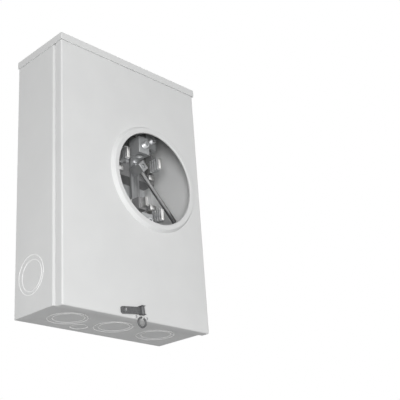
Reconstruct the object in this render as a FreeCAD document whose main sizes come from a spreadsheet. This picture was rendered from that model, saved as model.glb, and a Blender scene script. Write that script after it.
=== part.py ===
import FreeCAD
import Part
import Sketcher
import math
import os
from FreeCAD import Placement, Rotation, Vector

# Meter socket enclosure: a surface-mounted steel box whose cover has a round rim for a plug-in meter.
# Axes: X to the right, Y into the wall, Z up. The wall face is at Y = 0 and the box is centred on X and Z.

doc = FreeCAD.newDocument("MeterSocket")
sheet = doc.addObject("Spreadsheet::Sheet", "Sizes")

SIZES = {
    # box
    "box_width": 300.0,
    "box_height": 450.0,
    "box_depth": 118.0,
    "steel": 1.5,
    "bend_radius": 2.5,
    "step_inward": 4.5,
    "step_run": 3.0,
    "step_behind_face": 23.0,
    "side_behind_face": 6.0,
    "weld_flange": 12.0,
    "bottom_lip_behind_face": 10.0,
    "bottom_lip_height": 18.0,
    # hood
    "hood_flange": 13.0,
    "hood_side_gap": 0.5,
    "hood_front_gap": 1.0,
    "hood_corner": 1.2,
    # cover
    "cover_flange": 15.0,
    "cover_hang": 3.5,
    "cover_top_gap": 1.5,
    "opening_x": 42.0,
    "opening_height": 242.0,
    "opening_radius": 80.5,
    "rim_top_radius": 89.0,
    "rim_foot_radius": 93.5,
    "rim_height": 6.0,
    "rim_turn_in": 3.5,
    # knockouts
    "knockout_radius": 31.9,
    "knockout_inner_radius": 25.4,
    "knockout_small_radius": 14.4,
    "knockout_pitch": 90.0,
    "knockout_from_wall": 53.0,
    "small_knockout_x": 46.0,
    "small_knockout_from_wall": 25.0,
    "side_knockout_from_wall": 42.0,
    "side_knockout_height": 60.0,
    "side_knockout_lean": 37.0,
    "groove_width": 2.0,
    "groove_depth": 1.2,
    # fixing holes in the back
    "fixing_hole_radius": 3.6,
    "fixing_spacing_wide": 200.0,
    "fixing_spacing_high": 380.0,
    # yoke and moulded blocks
    "yoke_width": 104.0,
    "yoke_height": 236.0,
    "yoke_standoff": 40.0,
    "yoke_steel": 2.0,
    "yoke_foot": 12.0,
    "block_width": 100.0,
    "block_near": 20.0,
    "block_length": 58.0,
    "block_depth": 28.0,
    "block_floor": 10.0,
    "shelf_length": 38.0,
    "pocket_width": 17.0,
    "pocket_play": 1.0,
    "block_screw_x": 14.0,
    "jaw_screw_from_end": 6.0,
    # jaws
    "jaw_spacing_wide": 73.0,
    "jaw_spacing_high": 95.2,
    "jaw_length": 48.0,
    "jaw_height": 20.0,
    "jaw_leaf": 2.4,
    "jaw_slot": 2.6,
    "jaw_flare": 3.0,
    "jaw_flare_out": 2.4,
    "horn_below": 4.0,
    "horn_steel": 2.4,
    "horn_reach": 26.0,
    "horn_hook": 8.0,
    "tail_width": 14.0,
    "tail_thickness": 3.0,
    "clip_steel": 1.2,
    "clip_height": 14.0,
    "clip_length": 20.0,
    # lugs
    "lug_width": 24.0,
    "lug_height": 30.0,
    "lug_depth": 26.0,
    "lug_bore_radius": 7.5,
    "lug_corner": 1.5,
    "lug_from_block": 4.0,
    "set_screw_radius": 6.0,
    "set_screw_length": 12.0,
    "set_screw_from_bore": 0.5,
    "hex_key": 6.0,
    "small_set_screw_radius": 3.5,
    "small_set_screw_length": 6.0,
    "small_hex_key": 3.0,
    "small_screw_radius": 2.0,
    "small_screw_head": 4.0,
    "small_screw_head_top": 2.8,
    "small_screw_head_height": 3.0,
    "hole_play": 0.1,
    # neutral and ground
    "neutral_bar_width": 18.0,
    "neutral_bar_thickness": 5.0,
    "neutral_lug_from_screw": 6.0,
    "neutral_jaw_from_screw": 8.0,
    "neutral_jaw_leaf": 2.0,
    "neutral_jaw_slot": 1.6,
    "neutral_jaw_length": 26.0,
    "neutral_jaw_height": 16.0,
    "neutral_holder_depth": 15.0,
    "neutral_holder_wall": 2.5,
    "bonding_lug_x": -3.8,
    "bonding_lug_high": 30.8,
    "bonding_lug_turn": 135.0,
    "bonding_lug_width": 15.0,
    "bonding_lug_length": 16.0,
    "bonding_lug_depth": 26.0,
    "ground_lug_from_side": 24.0,
    "ground_lug_height": 80.0,
    "ground_lug_width": 14.0,
    "ground_lug_length": 19.6,
    "lead_radius": 4.0,
    # hasp and seal
    "hasp_steel": 1.6,
    "hasp_length": 41.0,
    "hasp_width": 11.4,
    "hasp_corner": 3.8,
    "hasp_slot_from_tip": 7.7,
    "hasp_lean": 2.5,
    "hasp_tilt": 6.5,
    "hasp_height": 10.4,
    "hasp_bracket_steel": 1.1,
    "hasp_bracket_width": 8.0,
    "hasp_bracket_height": 14.0,
    "hasp_pin_x": -1.0,
    "hasp_pin_out": 5.3,
    "hasp_pin_radius": 1.5,
    "hasp_pin_head_radius": 2.25,
    "hasp_pin_head_height": 0.75,
    "keeper_thickness": 1.5,
    "keeper_width": 5.0,
    "keeper_foot": 10.0,
    "keeper_reach": 5.5,
    "keeper_corner": 1.25,
    "keeper_hole_radius": 0.9,
    "seal_tab_width": 28.0,
    "seal_tab_height": 5.0,
    "seal_tab_low": 2.1,
    "seal_tab_x": 0.0,
    "rivet_spacing": 22.0,
    "rivet_radius": 1.2,
    "rivet_head": 2.0,
    "seal_ear_x": -3.4,
    "seal_ear_radius": 3.0,
    "seal_eye_height": -1.2,
    "seal_eye_out": 5.5,
    "seal_wire_radius": 1.5,
    "seal_ring_radius": 7.5,
    "seal_play": 0.4,
    "keeper_play": 0.8,
    "pin_play": 0.08,
}

# A cut that leaves through an open side runs this far past it.
OVERCUT = 1.0


class Size:
    """A length together with the spreadsheet formula that gives it."""

    def __init__(self, value, formula):
        self.value = value
        self.formula = formula

    @staticmethod
    def of(other):
        return other if isinstance(other, Size) else Size(float(other), repr(float(other)))

    def __add__(self, other):
        other = Size.of(other)
        return Size(self.value + other.value, f"({self.formula} + {other.formula})")

    def __sub__(self, other):
        other = Size.of(other)
        return Size(self.value - other.value, f"({self.formula} - {other.formula})")

    def __mul__(self, other):
        other = Size.of(other)
        return Size(self.value * other.value, f"({self.formula} * {other.formula})")

    def __truediv__(self, other):
        other = Size.of(other)
        return Size(self.value / other.value, f"({self.formula} / {other.formula})")

    def __neg__(self):
        return Size(-self.value, f"(0 - {self.formula})")

    __radd__ = __add__
    __rmul__ = __mul__

    def __rsub__(self, other):
        return Size.of(other) - self


def root(size):
    return Size(math.sqrt(size.value), f"sqrt({size.formula})")


def cosine(degrees):
    return Size(math.cos(math.radians(degrees.value)), f"cos({degrees.formula})")


def sine(degrees):
    return Size(math.sin(math.radians(degrees.value)), f"sin({degrees.formula})")


class Sizes:
    """Reads a driving dimension by its alias."""

    def __getattr__(self, alias):
        return Size(float(sheet.get(alias)), f"Sizes.{alias}")


for row, (alias, number) in enumerate(SIZES.items(), start=1):
    sheet.set(f"A{row}", alias)
    sheet.set(f"B{row}", str(number))
    sheet.setAlias(f"B{row}", alias)
doc.recompute()
s = Sizes()
nodes = []


def bind(item, prop, size):
    """Ties one property of an object to the sheet."""
    item.setExpression(prop, Size.of(size).formula)


def place(item, x=0, y=0, z=0):
    for axis, size in zip("xyz", (x, y, z)):
        bind(item, f"Placement.Base.{axis}", size)


def keep(item, name):
    """Marks an object as a finished piece of the product."""
    item.Label = name
    nodes.append(item)
    return item


def new_body(name, turn=Rotation(), x=0, y=0, z=0):
    body = doc.addObject("PartDesign::Body", name.title().replace("_", ""))
    body.Placement = Placement(Vector(), turn)
    place(body, x, y, z)
    return keep(body, name)


def new_sketch(body, plane, x=0, y=0, out=0):
    """A sketch on an origin plane, shifted by x and y in the plane and by out along its normal."""
    sketch = body.newObject("Sketcher::SketchObject", f"{body.Name}Sketch")
    origin = [f for f in body.Origin.OriginFeatures if f.Role == f"{plane}_Plane"][0]
    sketch.AttachmentSupport = [(origin, "")]
    sketch.MapMode = "FlatFace"
    for axis, size in zip("xyz", (x, y, out)):
        bind(sketch, f"AttachmentOffset.Base.{axis}", size)
    return sketch


def pin_point(sketch, curve, end, x, y):
    """Holds one point of a curve at sheet-driven coordinates."""
    for kind, axis, size in (("DistanceX", -2, Size.of(x)), ("DistanceY", -1, Size.of(y))):
        if size.value == 0:
            sketch.addConstraint(Sketcher.Constraint("PointOnObject", curve, end, axis))
        else:
            index = sketch.addConstraint(Sketcher.Constraint(kind, -1, 1, curve, end, size.value))
            sketch.setExpression(f"Constraints[{index}]", size.formula)


def polygon(sketch, points):
    """A closed outline through sheet-driven corners."""
    points = [(Size.of(x), Size.of(y)) for x, y in points]
    spots = [Vector(x.value, y.value, 0) for x, y in points]
    first = sketch.GeometryCount
    count = len(points)
    for i, spot in enumerate(spots):
        sketch.addGeometry(Part.LineSegment(spot, spots[(i + 1) % count]))
    for i in range(count):
        after = first + (i + 1) % count
        sketch.addConstraint(Sketcher.Constraint("Coincident", first + i, 2, after, 1))
    for i, (x, y) in enumerate(points):
        pin_point(sketch, first + i, 1, x, y)


def box_outline(sketch, x_low, x_high, y_low, y_high):
    polygon(sketch, [(x_low, y_low), (x_high, y_low), (x_high, y_high), (x_low, y_high)])


def circle(sketch, x, y, radius):
    x, y, radius = Size.of(x), Size.of(y), Size.of(radius)
    curve = sketch.addGeometry(Part.Circle(Vector(x.value, y.value, 0), Vector(0, 0, 1), radius.value))
    pin_point(sketch, curve, 3, x, y)
    index = sketch.addConstraint(Sketcher.Constraint("Radius", curve, radius.value))
    sketch.setExpression(f"Constraints[{index}]", radius.formula)


def ring_groove(sketch, x, y, radius):
    circle(sketch, x, y, radius)
    circle(sketch, x, y, radius - s.groove_width)


def knockout(sketch, x, y, lean_x, lean_y):
    """Two scored rings, one in the other, that touch where the inner one leans."""
    lean = s.knockout_radius - s.knockout_inner_radius - 2 * s.groove_width
    ring_groove(sketch, x, y, s.knockout_radius)
    ring_groove(sketch, x + lean_x * lean, y + lean_y * lean, s.knockout_inner_radius)


def pad(body, sketch, length, reverse=False, midplane=False):
    feature = body.newObject("PartDesign::Pad", f"{body.Name}Pad")
    feature.Profile = sketch
    bind(feature, "Length", length)
    feature.Reversed = reverse
    feature.Midplane = midplane
    return feature


def pocket(body, sketch, length, reverse=False):
    """Cuts a sketch into the body and makes sure that something was cut."""
    doc.recompute()
    before = body.Shape.Volume
    feature = body.newObject("PartDesign::Pocket", f"{body.Name}Pocket")
    feature.Profile = sketch
    bind(feature, "Length", length)
    feature.Reversed = reverse
    doc.recompute()
    if body.Shape.Volume >= before:
        raise RuntimeError(f"{feature.Name} in {body.Label} cut nothing")
    return feature


def fillet(body, radius, chosen):
    """Rounds the edges of the body's last feature for which chosen(edge) is true."""
    doc.recompute()
    base = body.Tip
    names = [f"Edge{i}" for i, edge in enumerate(base.Shape.Edges, start=1) if chosen(edge)]
    if not names:
        raise RuntimeError(f"no edge to round in {body.Label}")
    feature = body.newObject("PartDesign::Fillet", f"{body.Name}Fillet")
    feature.Base = (base, names)
    bind(feature, "Radius", radius)
    body.Tip = feature
    return feature


def near(a, b):
    return abs(a - b) < 1e-4


def is_round(edge):
    return not edge.Degenerated and isinstance(edge.Curve, Part.Circle)


def edge_runs(edge, axis):
    """True for a straight edge parallel to the named axis."""
    if edge.Degenerated or not isinstance(edge.Curve, Part.Line):
        return False
    a, b = edge.firstVertex().Point, edge.lastVertex().Point
    return near(abs(getattr(b - a, axis)), (b - a).Length)


def edge_lies(edge, **spots):
    """True where every point given by the edge's middle has these coordinates."""
    middle = edge.valueAt((edge.FirstParameter + edge.LastParameter) / 2)
    return all(near(getattr(middle, axis), Size.of(size).value) for axis, size in spots.items())


half_width = s.box_width / 2
base = -s.box_height / 2
face = -s.box_depth
step_back = s.box_depth - s.step_behind_face
step_front = step_back + s.step_run
side_front = s.box_depth - s.side_behind_face
slope = root(s.step_inward * s.step_inward + s.step_run * s.step_run)
miter = s.steel * (slope - s.step_run) / s.step_inward
opening_z = s.opening_height
tab_middle = s.seal_tab_height / 2 - s.seal_tab_low
ground_lug_x = half_width - s.ground_lug_from_side

# The hasp sits a little out of level, and its slot gives the place of the keeper's blade.
slot_reach = s.hasp_length - s.hasp_slot_from_tip
slot_x = s.hasp_pin_x - slot_reach * cosine(s.hasp_tilt)
slot_height = s.hasp_height - slot_reach * sine(s.hasp_tilt)
TILTED = Rotation(Vector(0, 1, 0), -s.hasp_tilt.value)


def wall_shell():
    """Back and two sides from one sheet, stepped inwards where the cover's flanges pass over."""
    body = new_body("wall_shell", z=base)
    neck = half_width - s.step_inward
    right = [
        (half_width, 0), (half_width, -step_back), (neck, -step_front), (neck, -side_front),
        (neck - s.steel, -side_front), (neck - s.steel, miter - step_front),
        (half_width - s.steel, miter - step_back), (half_width - s.steel, -s.steel),
    ]
    sketch = new_sketch(body, "XY")
    polygon(sketch, right + [(-x, y) for x, y in reversed(right)])
    pad(body, sketch, s.box_height - s.steel)
    fillet(body, s.steel, lambda e: edge_runs(e, "z") and edge_lies(e, y=0))

    holes = new_sketch(body, "XZ")
    for x in (-1, 1):
        for z in (-1, 1):
            circle(holes, x * s.fixing_spacing_wide / 2, s.box_height / 2 + z * s.fixing_spacing_high / 2,
                   s.fixing_hole_radius)
    pocket(body, holes, s.steel, reverse=True)

    for x, inward in ((-half_width, True), (half_width, False)):
        rings = new_sketch(body, "YZ", out=x)
        knockout(rings, -s.side_knockout_from_wall, s.side_knockout_height,
                 -cosine(s.side_knockout_lean), -sine(s.side_knockout_lean))
        pocket(body, rings, s.groove_depth, reverse=inward)
    return body


def bottom_wall():
    """End plate with welded flanges, a front lip and three large knockouts and a small one."""
    body = new_body("bottom_wall", z=base)
    inside = half_width - s.steel
    neck = inside - s.step_inward
    lip = s.box_depth - s.bottom_lip_behind_face
    right = [(inside, -s.steel), (inside, miter - step_back), (neck, miter - step_front), (neck, -lip)]
    plate = new_sketch(body, "XY")
    polygon(plate, right + [(-x, y) for x, y in reversed(right)])
    pad(body, plate, s.steel)

    flanges = new_sketch(body, "XY", out=s.steel)
    for side in (-1, 1):
        box_outline(flanges, *sorted((side * inside, side * (inside - s.steel)), key=lambda x: x.value),
                    miter - step_back, -2 * s.steel)
    pad(body, flanges, s.weld_flange)
    front = new_sketch(body, "XY", out=s.steel)
    box_outline(front, s.steel - neck, neck - s.steel, -lip, s.steel - lip)
    pad(body, front, s.bottom_lip_height - s.steel)

    rings = new_sketch(body, "XY")
    for x in (-1, 0, 1):
        knockout(rings, x * s.knockout_pitch, -s.knockout_from_wall, 0, -1)
    ring_groove(rings, -s.small_knockout_x, -s.small_knockout_from_wall, s.knockout_small_radius)
    pocket(body, rings, s.groove_depth, reverse=True)
    return body


def top_cap():
    """Hood folded from one sheet, open at the wall."""
    body = new_body("top_cap", z=-base)
    outer = half_width + s.hood_side_gap + s.steel
    front = s.box_depth + s.hood_front_gap + s.steel
    block = new_sketch(body, "XY")
    box_outline(block, -outer, outer, -front, 0)
    pad(body, block, s.hood_flange, reverse=True)
    hollow = new_sketch(body, "XY", out=-s.hood_flange)
    box_outline(hollow, s.steel - outer, outer - s.steel, s.steel - front, OVERCUT)
    pocket(body, hollow, s.hood_flange - s.steel, reverse=True)
    fillet(body, s.hood_corner, lambda e: (edge_lies(e, z=0) and not edge_lies(e, y=0))
           or (edge_runs(e, "z") and edge_lies(e, y=-front)))
    return body


def cover():
    """Pan that hangs under the hood, with a drawn rim about the meter opening."""
    body = new_body("cover", z=base)
    top = s.box_height - s.steel - s.cover_top_gap
    block = new_sketch(body, "XZ", out=s.box_depth - s.cover_flange)
    box_outline(block, -half_width, half_width, -s.cover_hang, top)
    pad(body, block, s.cover_flange)
    hollow = new_sketch(body, "XZ", out=s.box_depth - s.cover_flange)
    box_outline(hollow, s.steel - half_width, half_width - s.steel, s.steel - s.cover_hang, top + OVERCUT)
    pocket(body, hollow, s.cover_flange - s.steel, reverse=True)
    fillet(body, s.bend_radius, lambda e: (edge_runs(e, "z") and edge_lies(e, y=face))
           or (edge_runs(e, "x") and edge_lies(e, y=face, z=-s.cover_hang))
           or (edge_runs(e, "y") and edge_lies(e, z=-s.cover_hang)))

    hole = new_sketch(body, "XZ", out=s.box_depth)
    circle(hole, s.opening_x, opening_z, s.rim_foot_radius)
    keeper_slot(hole, slot_x, slot_height)
    for side in (-1, 1):
        circle(hole, s.seal_tab_x + side * s.rivet_spacing / 2, tab_middle, s.rivet_radius + s.hole_play)
    pocket(body, hole, s.steel)

    rim = new_sketch(body, "XY", x=s.opening_x, y=face, out=opening_z)
    turned = s.rim_turn_in
    polygon(rim, [
        (s.rim_foot_radius, s.steel), (s.rim_foot_radius, 0), (s.rim_top_radius, -s.rim_height),
        (s.opening_radius, -s.rim_height), (s.opening_radius, turned - s.rim_height),
        (s.opening_radius + s.steel, turned - s.rim_height),
        (s.opening_radius + s.steel, s.steel - s.rim_height),
        (s.rim_top_radius - s.steel, s.steel - s.rim_height), (s.rim_foot_radius - s.steel, s.steel),
    ])
    turn = body.newObject("PartDesign::Revolution", "CoverRim")
    turn.Profile = rim
    turn.ReferenceAxis = (rim, ["V_Axis"])
    turn.Angle = 360
    doc.recompute()

    def on_rim_top(edge):
        return is_round(edge) and near(edge.Curve.Center.y, (face - s.rim_height).value)
    fillet(body, s.steel, on_rim_top)
    return body


def keeper_slot(sketch, x, z):
    """Outline of the hole that the keeper blade passes through."""
    across = s.keeper_thickness / 2 + s.keeper_play
    along = s.keeper_width / 2 + s.keeper_play
    box_outline(sketch, x - across, x + across, z - along, z + along)


def yoke():
    """Hat-section bracket that stands the moulded blocks off the back wall."""
    body = new_body("yoke", x=s.opening_x, z=base + opening_z)
    half = s.yoke_width / 2
    top = s.yoke_standoff
    thick = s.yoke_steel
    toe = half + s.yoke_foot
    right = [(toe, -s.steel), (toe, -s.steel - thick), (half, -s.steel - thick), (half, -top)]
    under = [(half - thick, thick - top), (half - thick, -s.steel)]
    sketch = new_sketch(body, "XY", out=-s.yoke_height / 2)
    polygon(sketch, right + [(-x, y) for x, y in reversed(right)]
            + [(-x, y) for x, y in reversed(under)] + under)
    pad(body, sketch, s.yoke_height)
    holes = new_sketch(body, "XZ", out=top - thick)
    for side in (-1, 1):
        for x in (-1, 1):
            circle(holes, x * s.block_screw_x, side * block_screw_z, s.small_screw_radius + s.hole_play)
    pocket(body, holes, thick, reverse=True)
    return body


block_front = s.yoke_standoff + s.block_depth
block_end = s.block_near + s.block_length
shelf_front = s.yoke_standoff + s.block_floor
block_screw_z = s.block_near + s.block_length / 2
jaw_x = s.jaw_spacing_wide / 2
jaw_z = s.jaw_spacing_high / 2
jaw_screw_z = block_end - s.jaw_screw_from_end
lug_z = block_end + s.lug_from_block
UPRIGHT = Rotation()
TURNED = Rotation(Vector(0, 1, 0), 180)
neutral_lug_z = block_screw_z + s.neutral_lug_from_screw
strap_front = block_front + s.neutral_bar_thickness
bonding_x = s.opening_x + s.bonding_lug_x
bonding_z = base + opening_z + s.bonding_lug_high
neutral_jaw_base = base + opening_z - block_screw_z + s.neutral_jaw_from_screw
SLANTED = Rotation(Vector(0, 1, 0), s.bonding_lug_turn.value)
SIDES = {"line": (1, UPRIGHT), "load": (-1, TURNED)}


def moulded_block(side):
    """Insulating block with an open-ended pocket for each jaw and a shelf under the lugs."""
    turn = SIDES[side][1]
    body = new_body(f"{side}_block", turn=turn, x=s.opening_x, z=base + opening_z)
    shape = new_sketch(body, "YZ")
    polygon(shape, [
        (-s.yoke_standoff, s.block_near), (-block_front, s.block_near), (-block_front, block_end),
        (-shelf_front, block_end), (-shelf_front, block_end + s.shelf_length),
        (-s.yoke_standoff, block_end + s.shelf_length),
    ])
    pad(body, shape, s.block_width, midplane=True)
    fillet(body, s.bend_radius, lambda e: edge_runs(e, "z") and edge_lies(e, y=-block_front)
           and near(abs(e.firstVertex().Point.x), (s.block_width / 2).value))
    pockets = new_sketch(body, "XZ", out=block_front)
    pocket_end = jaw_z - s.jaw_height / 2 - s.horn_below - s.horn_steel - s.pocket_play
    for x in (-jaw_x, jaw_x):
        box_outline(pockets, x - s.pocket_width / 2, x + s.pocket_width / 2, pocket_end, block_end + OVERCUT)
    pocket(body, pockets, s.block_depth - s.block_floor)
    holes = new_sketch(body, "XZ", out=block_front)
    for x in (-1, 1):
        circle(holes, x * s.block_screw_x, block_screw_z, s.small_screw_radius + s.hole_play)
        circle(holes, x * jaw_x, jaw_screw_z, s.small_screw_radius + s.hole_play)
    circle(holes, 0, block_screw_z, s.small_screw_radius + s.hole_play)
    pocket(body, holes, s.block_depth)


def jaw(side, hand, x):
    """Two sprung leaves that grip a meter blade, with a bypass horn beside them, on a tail under the lug."""
    sign, turn = SIDES[side]
    body = new_body(f"{side}_{hand}_jaw", turn=turn, x=s.opening_x + x, y=-shelf_front,
                    z=base + opening_z + sign * jaw_z)
    gap = s.jaw_slot / 2
    straight = s.jaw_length - s.jaw_flare
    right = [
        (gap + s.jaw_leaf, 0), (gap + s.jaw_leaf, -straight),
        (gap + s.jaw_leaf + s.jaw_flare_out, -s.jaw_length), (gap + s.jaw_flare_out, -s.jaw_length),
        (gap, -straight), (gap, -s.tail_thickness),
    ]
    leaves = new_sketch(body, "XY")
    polygon(leaves, right + [(-x, y) for x, y in reversed(right)])
    pad(body, leaves, s.jaw_height, midplane=True)
    tail = new_sketch(body, "XZ")
    box_outline(tail, -s.tail_width / 2, s.tail_width / 2, -s.jaw_height / 2, lug_z + s.lug_height - jaw_z)
    pad(body, tail, s.tail_thickness)
    hole = new_sketch(body, "XZ", out=s.tail_thickness)
    circle(hole, 0, jaw_screw_z - jaw_z, s.small_screw_radius + s.hole_play)
    pocket(body, hole, s.tail_thickness)
    horn = new_sketch(body, "YZ")
    leaf_end = -s.jaw_height / 2
    near_side = leaf_end - s.horn_below
    far_side = near_side - s.horn_steel
    polygon(horn, [
        (0, leaf_end), (0, far_side), (s.horn_steel - s.horn_reach, far_side),
        (s.horn_steel - s.horn_reach, near_side - s.horn_hook), (-s.horn_reach, near_side - s.horn_hook),
        (-s.horn_reach, near_side), (-s.tail_thickness, near_side), (-s.tail_thickness, leaf_end),
    ])
    pad(body, horn, s.tail_width, midplane=True)


def jaw_clip(side, hand, x):
    """Steel band that keeps the leaves together."""
    sign, turn = SIDES[side]
    body = new_body(f"{side}_{hand}_clip", turn=turn, x=s.opening_x + x, y=-shelf_front,
                    z=base + opening_z + sign * jaw_z)
    wide = s.jaw_slot / 2 + s.jaw_leaf
    high = s.jaw_height / 2
    band = new_sketch(body, "XZ", out=s.jaw_length - s.jaw_flare - s.clip_length)
    box_outline(band, -wide - s.clip_steel, wide + s.clip_steel, -high - s.clip_steel, high + s.clip_steel)
    box_outline(band, -wide, wide, -high, high)
    pad(body, band, s.clip_length)


def lug(name, width, height, depth, bore, screw, **spot):
    """Aluminium block with an upright wire hole and a threaded hole in front for its set screw."""
    body = new_body(name, **spot)
    block = new_sketch(body, "XY")
    box_outline(block, -width / 2, width / 2, -depth, 0)
    pad(body, block, height)
    fillet(body, s.lug_corner, lambda e: edge_runs(e, "z"))
    wire_hole = new_sketch(body, "XY", out=height)
    circle(wire_hole, 0, -depth / 2, bore)
    pocket(body, wire_hole, height)
    screw_hole = new_sketch(body, "XZ", out=depth)
    circle(screw_hole, 0, height / 2, screw + s.hole_play)
    pocket(body, screw_hole, depth / 2)


def set_screw(name, radius, length, key, **spot):
    """Headless screw with a hexagon socket, backed out ready for the conductor."""
    body = new_body(name, **spot)
    shank = new_sketch(body, "XZ")
    circle(shank, 0, 0, radius)
    pad(body, shank, length)
    socket = new_sketch(body, "XZ", out=length)
    corner = key / math.sqrt(3)
    polygon(socket, [(corner * math.cos(math.radians(60 * i)), corner * math.sin(math.radians(60 * i)))
                     for i in range(6)])
    pocket(body, socket, length / 2)


def lug_with_screw(name, width, height, depth, bore, screw, length, key,
                   sign=1, turn=UPRIGHT, x=0, y=0, z=0):
    lug(f"{name}_lug", width, height, depth, bore, screw, turn=turn, x=x, y=y, z=z)
    set_screw(f"{name}_set_screw", screw, length, key, turn=turn, x=x,
              y=y - depth / 2 - bore - s.set_screw_from_bore, z=z + sign * height / 2)


def small_screws(name, length, spots):
    """A group of screws with tapered heads that bear on the surface at each spot."""
    screws = []
    for i, (x, y, z) in enumerate(spots):
        shank = doc.addObject("Part::Cylinder", f"{name}_shank_{i}")
        bind(shank, "Radius", s.small_screw_radius)
        bind(shank, "Height", length)
        shank.Placement = Placement(Vector(), Rotation(Vector(1, 0, 0), -90))
        place(shank, x, y, z)
        head = doc.addObject("Part::Cone", f"{name}_head_{i}")
        bind(head, "Radius1", s.small_screw_head)
        bind(head, "Radius2", s.small_screw_head_top)
        bind(head, "Height", s.small_screw_head_height)
        head.Placement = Placement(Vector(), Rotation(Vector(1, 0, 0), 90))
        place(head, x, y, z)
        whole = doc.addObject("Part::Fuse", f"{name}_whole_{i}")
        whole.Base, whole.Tool = shank, head
        screws.append(whole)
    group = doc.addObject("Part::Compound", name.title().replace("_", ""))
    group.Links = screws
    keep(group, name)


def neutral_bar():
    """Aluminium strap down the middle, screwed across the fronts of both blocks, with a lug at each end."""
    body = new_body("neutral_bar", x=s.opening_x, y=-block_front, z=base + opening_z)
    bar = new_sketch(body, "XZ")
    half = neutral_lug_z + s.lug_height
    box_outline(bar, -s.neutral_bar_width / 2, s.neutral_bar_width / 2, -half, half)
    for side in (-1, 1):
        circle(bar, 0, side * block_screw_z, s.small_screw_radius + s.hole_play)
    pad(body, bar, s.neutral_bar_thickness)


def neutral_jaw():
    """Narrow fifth jaw that stands out from the strap."""
    body = new_body("neutral_jaw", x=s.opening_x, y=-strap_front, z=neutral_jaw_base)
    gap = s.neutral_jaw_slot / 2
    wide = gap + s.neutral_jaw_leaf
    leaves = new_sketch(body, "XY")
    polygon(leaves, [
        (-wide, 0), (-wide, -s.neutral_jaw_length), (-gap, -s.neutral_jaw_length),
        (-gap, -s.neutral_jaw_leaf), (gap, -s.neutral_jaw_leaf),
        (gap, -s.neutral_jaw_length), (wide, -s.neutral_jaw_length), (wide, 0),
    ])
    pad(body, leaves, s.neutral_jaw_height)


def neutral_jaw_holder():
    """Moulded collar round the foot of the fifth jaw."""
    wall = s.neutral_holder_wall
    body = new_body("neutral_jaw_holder", x=s.opening_x, y=-strap_front, z=neutral_jaw_base - wall)
    wide = s.neutral_jaw_slot / 2 + s.neutral_jaw_leaf
    block = new_sketch(body, "XY")
    box_outline(block, -wide - 2 * wall, wide + 2 * wall, -s.neutral_holder_depth, 0)
    pad(body, block, s.neutral_jaw_height + 2 * wall)
    fillet(body, wall / 2, lambda e: edge_runs(e, "z") and edge_lies(e, y=-s.neutral_holder_depth))
    way = new_sketch(body, "XZ", out=s.neutral_holder_depth)
    box_outline(way, -wide, wide, wall, wall + s.neutral_jaw_height)
    pocket(body, way, s.neutral_holder_depth)


# The share of a run that a rounded corner takes, and how far back to the wall and how far down each of the
# lead's lower bends lies on the way to the ground lug.
CORNER_SHARE = 0.45
LOWER_BENDS = ((0.2, 0.37), (1.0, 0.68))


def rounded_route(points):
    """Straight runs joined by tangent arcs as large as the runs allow."""
    edges = []
    start = points[0]
    for before, corner, after in zip(points, points[1:], points[2:]):
        into, out_of = (before - corner), (after - corner)
        reach = CORNER_SHARE * min(into.Length, out_of.Length)
        turn = math.pi - into.getAngle(out_of)
        radius = reach / math.tan(turn / 2)
        entry = corner + into.normalize() * reach
        leave = corner + out_of.normalize() * reach
        bisector = (into + out_of).normalize()
        middle = corner + bisector * (math.hypot(radius, reach) - radius)
        edges += [Part.LineSegment(start, entry).toShape(), Part.Arc(entry, middle, leave).toShape()]
        start = leave
    edges.append(Part.LineSegment(start, points[-1]).toShape())
    return Part.Wire(edges)


def bonding_lead():
    """Insulated lead from the slanted lug on the strap, across between the jaws, to the ground lug."""
    begin = Vector(bonding_x.value, -(strap_front + s.bonding_lug_depth / 2).value, bonding_z.value)
    finish = Vector(
        ground_lug_x.value,
        -(s.steel + s.ground_lug_width / 2).value,
        (base + s.ground_lug_height + s.ground_lug_width / 2).value,
    )
    out = SLANTED.multVec(Vector(0, 0, 1))
    corner = begin + out * ((finish.x - begin.x) / out.x)
    drop = finish - corner
    bends = [corner + Vector(0, drop.y * back, drop.z * down) for back, down in LOWER_BENDS]
    points = [begin, corner, *bends, finish]
    route = rounded_route(points)
    ring = Part.Circle(begin, out, s.lead_radius.value)
    shape = route.makePipeShell([Part.Wire(ring.toShape())], True, False)
    lead = doc.addObject("Part::Feature", "BondingLead")
    lead.Shape = shape
    keep(lead, "bonding_lead")
    corners = [tuple(round(v, 2) for v in point) for point in points]
    print(f"bonding_lead: {route.Length:.1f} mm long through {corners}")


def hasp_bracket():
    """Folded steel bracket on the cover that carries the hasp's pin."""
    body = new_body("hasp_bracket", turn=TILTED, x=s.hasp_pin_x, y=face, z=base + s.hasp_height)
    half = s.hasp_bracket_height / 2
    reach = s.hasp_pin_out + 2 * s.hasp_pin_radius
    steel = s.hasp_bracket_steel
    section = new_sketch(body, "YZ")
    polygon(section, [(0, -half), (-reach, -half), (-reach, steel - half), (-steel, steel - half),
                      (-steel, half - steel), (-reach, half - steel), (-reach, half), (0, half)])
    pad(body, section, s.hasp_bracket_width, midplane=True)
    hole = new_sketch(body, "XY", out=half)
    circle(hole, 0, -s.hasp_pin_out, s.hasp_pin_radius + s.pin_play)
    pocket(body, hole, s.hasp_bracket_height)


def hasp_pin():
    """Upright pin with peened ends."""
    body = new_body("hasp_pin", turn=TILTED, x=s.hasp_pin_x, y=face - s.hasp_pin_out, z=base + s.hasp_height)
    half = s.hasp_bracket_height / 2
    section = new_sketch(body, "XZ")
    head = s.hasp_pin_head_radius
    rise = s.hasp_pin_head_height
    polygon(section, [(0, -half - rise), (head, -half - rise), (head, -half), (s.hasp_pin_radius, -half),
                      (s.hasp_pin_radius, half), (head, half), (head, half + rise), (0, half + rise)])
    turn = body.newObject("PartDesign::Revolution", "HaspPinTurned")
    turn.Profile = section
    turn.ReferenceAxis = (section, ["V_Axis"])
    turn.Angle = 360


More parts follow.
